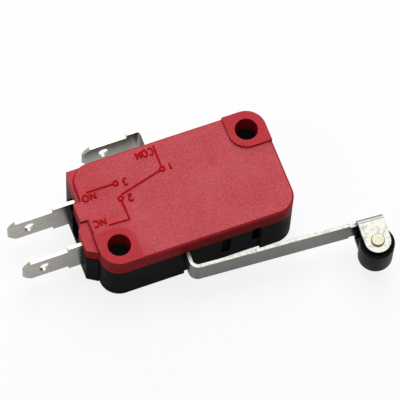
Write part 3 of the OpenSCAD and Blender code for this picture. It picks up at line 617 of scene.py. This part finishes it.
# The common lead leaves little room beside it, so its name is narrower
raised_word("mark_common_name", "COM", (-3.2, 6.6), 1.05, 0.72)
raised_word("mark_closed_name", "NC", (-12.45, -1.05), CAPITAL)
raised_word("mark_open_name", "NO", (-12.5, 3.0), CAPITAL)
raised_word("mark_number_1", "1", beside(COMMON, 1.25, 0.05), CAPITAL)
raised_word("mark_number_2", "2", beside(CLOSED, 1.3, -0.3), CAPITAL)
raised_word("mark_number_3", "3", beside(OPEN, 1.35, -0.2), CAPITAL)

# %% [markdown]
# ## The roller
# The roller is moulded nylon with round rims and a shallow dish in each side,
# which catches a thin ring of light. The construction model holds a plain
# wheel of the same size. A wheel turned from its section, as on a lathe, has
# the rims and the dishes, and replaces it.

# %% Roller
# The bore's radius and the dish's depth, in mm
BORE, DISH_DEPTH = 0.8, 0.12
# As shares of the wheel's radius: where the flat hub ends, where the dish's
# floor starts and stops, and where the flat rim begins
HUB, DISH_START, DISH_STOP, RIM = 0.54, 0.6, 0.8, 0.86
# The corners' radii in mm, from the bore out to the tread
BORE_CORNER, HUB_CORNER, DISH_CORNER, TREAD_CORNER = 0.06, 0.12, 0.1, 0.32


def rounded_section(corners, radii, steps=7):
    """A closed outline with its corners rounded. Each arc starts and ends at
    the corner's radius times the tangent of half the turn from the corner,
    and is a quadratic curve pulled to the corner: (1 - t)^2 times the start,
    2 t (1 - t) times the corner, t^2 times the end."""
    corners = np.array(corners, float)
    before = np.roll(corners, 1, axis=0) - corners
    after = np.roll(corners, -1, axis=0) - corners
    before /= np.linalg.norm(before, axis=1, keepdims=True)
    after /= np.linalg.norm(after, axis=1, keepdims=True)
    between = (before * after).sum(1, keepdims=True)
    inset = np.array(radii, float)[:, None] * np.sqrt((1 + between) / (1 - between))
    t = np.linspace(0, 1, steps)[:, None, None]
    start, end = corners + before * inset, corners + after * inset
    curve = (1 - t) ** 2 * start + 2 * t * (1 - t) * corners + t ** 2 * end
    return curve.transpose(1, 0, 2).reshape(-1, 2)


def turned_wheel(name, node, finish, steps=128, **place):
    """A wheel turned about Z: its section's radius r and height h go to
    (x + r cos a, y + r sin a, z + h), for a from 0 to a full turn."""
    low, high = (np.array(corner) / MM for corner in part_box(node))
    centre, half = (low + high) / 2, (high[2] - low[2]) / 2
    radius = (high[1] - low[1]) / 2
    upper = [(BORE, half), (HUB * radius, half),
             (DISH_START * radius, half - DISH_DEPTH), (DISH_STOP * radius, half - DISH_DEPTH),
             (RIM * radius, half), (radius, half)]
    lower = [(r, -h) for r, h in reversed(upper)]
    radii = [BORE_CORNER, HUB_CORNER, DISH_CORNER, DISH_CORNER, DISH_CORNER, TREAD_CORNER]
    section = rounded_section(upper + lower, radii + radii[::-1])
    turn = np.linspace(0, 2 * math.pi, steps, endpoint=False)[:, None]
    r, h = section.T
    grid = np.stack([centre[0] + r * np.cos(turn), centre[1] + r * np.sin(turn),
                     centre[2] + h + 0 * turn], axis=-1)
    print(name, "radius", round(float(radius), 3), "half width", round(float(half), 3))
    return grid_mesh(name, grid, True, finish, **place)


wheel = turned_wheel("moulded_roller", "roller", BLACK_NYLON, body="roller", slot="roller_plastic")
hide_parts("roller")

# %% [markdown]
# ## The floor
# A product stands out best on a plain pale floor. The floor shows near-white
# to the camera and to reflections, but keeps part of its own shading, so the
# soft shadow that seats the switch is still there.

# %% Floor
# Half the floor's width, in metres
FLOOR_HALF = 1.5
WHITE = (1, 1, 1, 1)
# The share of plain light in the paper that a reflection sees, and what the
# camera sees on top of it
MIRRORED_GLOW, CAMERA_GLOW = 0.3, 0.53
corners = [(-FLOOR_HALF, -FLOOR_HALF, 0), (FLOOR_HALF, -FLOOR_HALF, 0),
           (FLOOR_HALF, FLOOR_HALF, 0), (-FLOOR_HALF, FLOOR_HALF, 0)]
floor_mesh = bpy.data.meshes.new("floor")
floor_mesh.from_pydata(corners, [], [(0, 1, 2, 3)])
floor = bpy.data.objects.new("floor", floor_mesh)
bpy.context.scene.collection.objects.link(floor)


def background_rays(tree):
    """1 for a ray from the camera, a mirror or glass, and 0 for other light,
    and then 1 for a ray from the camera alone."""
    camera_ray, mirror_ray, glass_ray = (
        add(tree, "ShaderNodeLightPath", out=f"Is {kind} Ray")
        for kind in ("Camera", "Glossy", "Transmission"))
    indirect = add(tree, "ShaderNodeMath", {0: mirror_ray, 1: glass_ray}, operation="MAXIMUM")
    seen = add(tree, "ShaderNodeMath", {0: camera_ray, 1: indirect}, operation="MAXIMUM")
    return seen, camera_ray


def pale_floor():
    """White paper, partly plain white light for the camera and for
    reflections, and greyer for the light that it throws back."""
    material, tree = new_material("matte_white_paper")
    seen, from_camera = background_rays(tree)
    mirrored = add(tree, "ShaderNodeMath", {0: seen, 1: MIRRORED_GLOW}, operation="MULTIPLY")
    share = add(tree, "ShaderNodeMath", {0: from_camera, 1: CAMERA_GLOW, 2: mirrored},
                operation="MULTIPLY_ADD")
    tone = add(tree, "ShaderNodeMix",
               {FACTOR: seen, FIRST: linear("#a8a8a8"), SECOND: linear("#fafafa")}, MIXED,
               data_type="RGBA")
    paper = add(tree, "ShaderNodeBsdfDiffuse", {"Color": tone})
    glow = add(tree, "ShaderNodeEmission", {"Color": WHITE, "Strength": 1.0})
    mix = add(tree, "ShaderNodeMixShader", {0: share, 1: paper, 2: glow})
    add(tree, "ShaderNodeOutputMaterial", {"Surface": mix})
    return material


floor_mesh.materials.append(pale_floor())
print("floor", 2 * FLOOR_HALF, "m wide")

# %% [markdown]
# ## Sky and lamps
# Small bright lamps would give a product hard shadows and burnt spots. Large
# square ones are softer, and sheet metal mirrors them as broad pale fields.
# The sky is dim as light and white as a background, so that it lifts the
# shadows a little and metal has something pale to mirror.

# %% Sky and lamps
# The strength of the sky as light, beside 1 where it is seen or mirrored
SKY_LIGHT = 0.2
world = bpy.data.worlds.new("soft_studio")
bpy.context.scene.world = world
world.use_nodes = True
sky = world.node_tree
sky.nodes.clear()
dim = add(sky, "ShaderNodeBackground", {"Color": linear("#e8ecf0"), "Strength": SKY_LIGHT})
white = add(sky, "ShaderNodeBackground", {"Color": WHITE, "Strength": 1.0})
view = add(sky, "ShaderNodeMixShader", {0: background_rays(sky)[0], 1: dim, 2: white})
add(sky, "ShaderNodeOutputWorld", {"Surface": view})


def softbox(name, direction, distance, size, power):
    """A square white lamp at a distance along a direction, facing the switch.
    The distance and the size are in metres and the power is in watts."""
    lamp = bpy.data.lights.new(name, "AREA")
    lamp.size = size
    lamp.energy = power
    holder = bpy.data.objects.new(name, lamp)
    bpy.context.scene.collection.objects.link(holder)
    towards = Vector(direction).normalized()
    holder.location = TARGET + towards * distance
    holder.rotation_euler = (-towards).to_track_quat("-Z", "Y").to_euler()
    print(name, "at", [round(c, 3) for c in holder.location])


# The top box stands where the flat tops mirror it towards the camera
softbox("top_box", (0.17, 0.26, 0.95), distance=0.6, size=0.5, power=3.0)
softbox("back_box", (0.17, 0.92, 0.38), distance=0.8, size=0.32, power=1.9)
softbox("side_box", (-0.8, -0.1, 0.6), distance=0.6, size=0.3, power=0.3)
